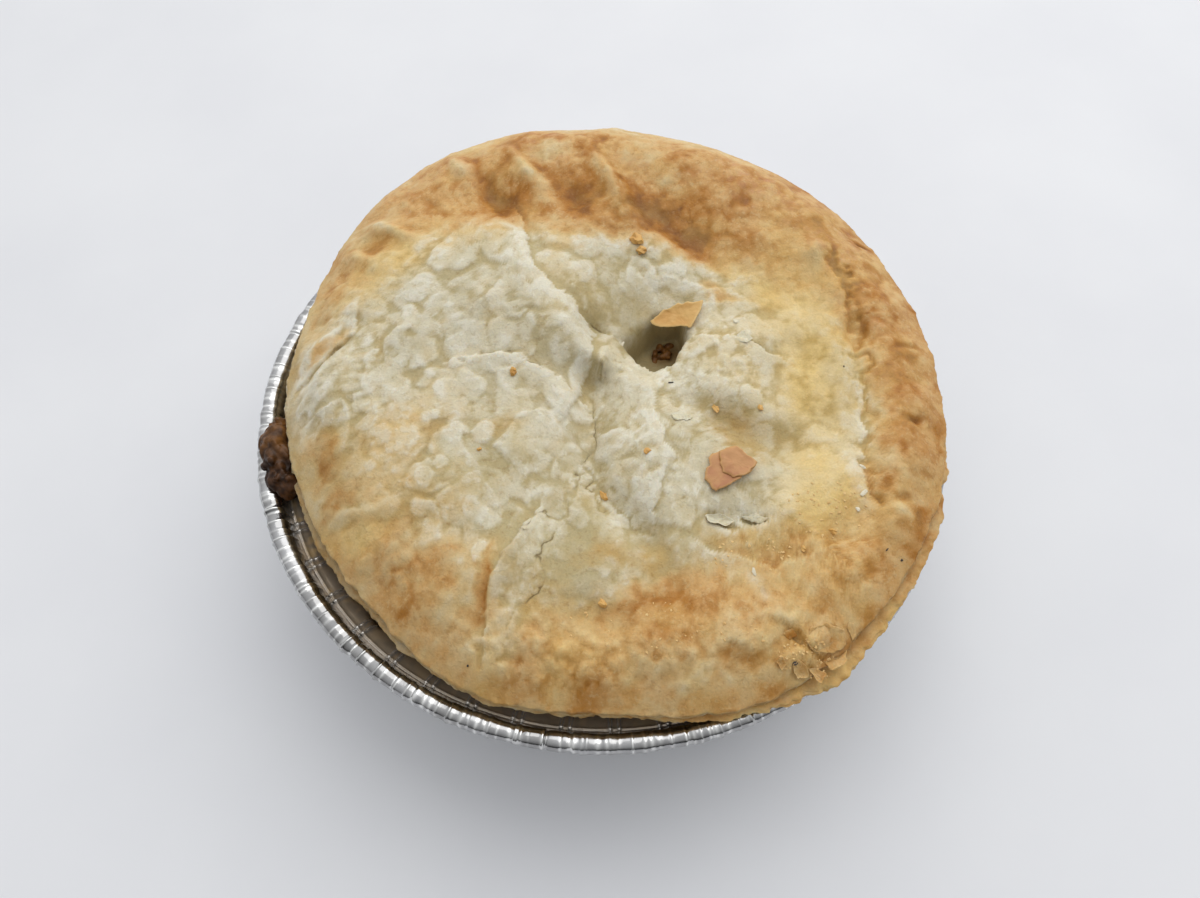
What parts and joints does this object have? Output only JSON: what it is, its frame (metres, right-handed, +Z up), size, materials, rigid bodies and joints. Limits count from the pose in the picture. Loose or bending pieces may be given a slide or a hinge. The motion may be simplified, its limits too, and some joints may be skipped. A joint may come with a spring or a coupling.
{
  "type": "beef pie",
  "caption": "Small round beef pie with a puffed, browned pastry lid and a steam vent, baked in its crimped foil tin; the filling shows in the vent and has leaked over the rim.",
  "frame": {"origin": "centre of the foil tin's flat base, on the surface that it rests on", "axes": "+Z up through the middle of the lid, -Y towards the front, where the crust has shrunk away from the tin at the left; +X towards the front's right hand"},
  "size_m": [0.1195, 0.121, 0.0447],
  "materials": {
    "tin_foil": "bright rolled foil with fine radial wrinkles",
    "baked_pastry": "dry blistered puff pastry, cream in the middle and golden brown at the rim",
    "beef_in_gravy": "dark brown mince with a wet gravy sheen",
    "golden_flake": "smooth golden flake with a faint egg-wash sheen",
    "browned_flake": "dry reddish-brown flake"
  },
  "bodies": {
    "root": {"foil_tin": "tin_foil", "pastry_crust": "baked_pastry", "beef_filling": "beef_in_gravy", "gold_flake": "golden_flake", "pink_flake": "browned_flake"}
  },
  "joints": []
}
